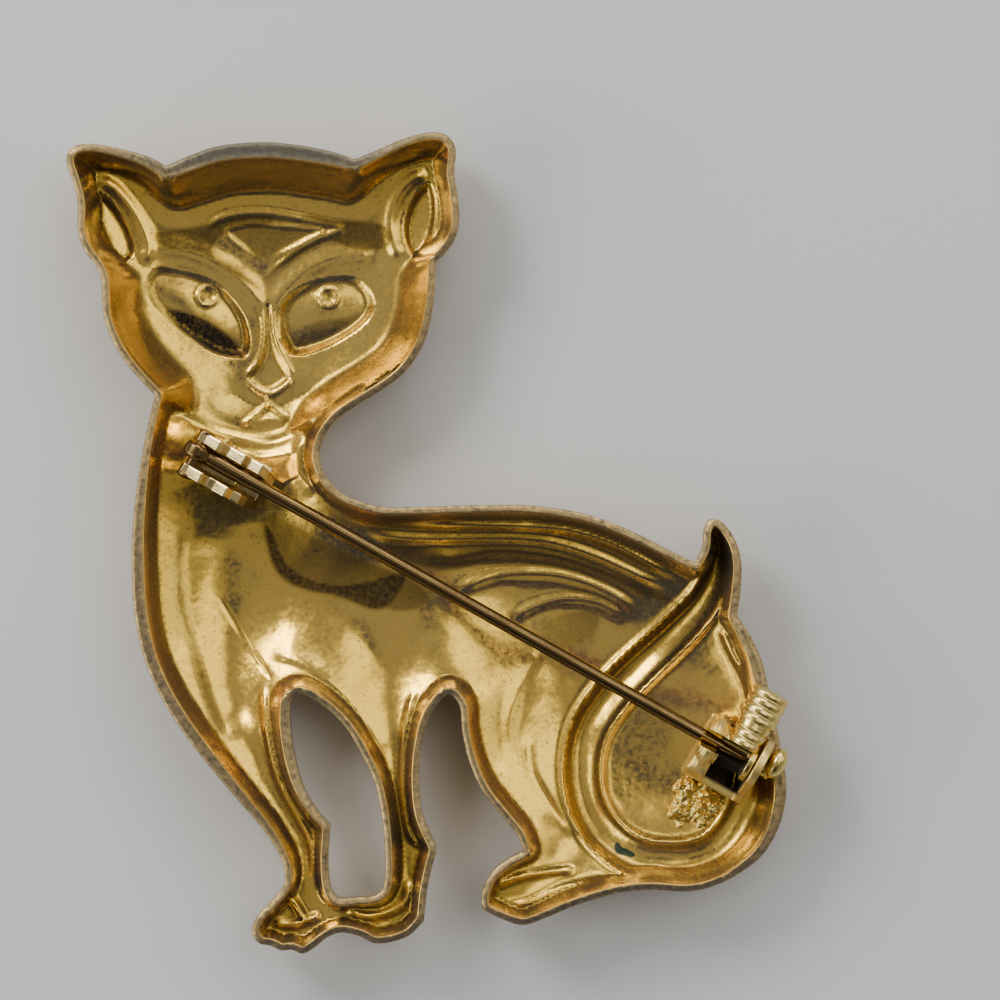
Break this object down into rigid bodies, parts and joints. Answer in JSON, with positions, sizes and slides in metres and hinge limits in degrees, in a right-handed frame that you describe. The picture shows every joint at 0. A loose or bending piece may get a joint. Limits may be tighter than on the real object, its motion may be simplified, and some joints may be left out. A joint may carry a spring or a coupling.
{
  "type": "cat brooch",
  "caption": "Brooch of a seated cat in gilt cast metal with a hollow back, a riveted hinged pin and a roller catch that turns to lock it.",
  "frame": {"origin": "under the middle of the box, on the surface that the face of the cat rests on", "axes": "+Z out of the hollow back, +Y towards the ears, +X towards the tail as the back is seen"},
  "size_m": [0.0439, 0.05, 0.0072],
  "materials": {
    "gilt_casting": "bright gilt, worn and pitted, with a filed rim",
    "rivet_wire": "plain drawn wire",
    "pin_wire": "darkened hard wire",
    "gilt_turned": "bright gilt"
  },
  "bodies": {
    "brooch": {"cat_body": "gilt_casting", "hinge_rivet": "rivet_wire"},
    "stem": {"pin_stem": "pin_wire"},
    "roller": {"catch_roller": "gilt_turned"}
  },
  "joints": [
    {"name": "stem_hinge", "type": "hinge", "parent": "brooch", "child": "stem", "pos_m": [-0.01392, 0.00555, 0.00535], "axis": [-0.4893, -0.8721, 0], "range_deg": [0, 110]},
    {"name": "catch_roll", "type": "hinge", "parent": "brooch", "child": "roller", "pos_m": [0.01888, -0.01285, 0.00535], "axis": [0.8721, -0.4893, 0], "range_deg": [0, 110]}
  ]
}
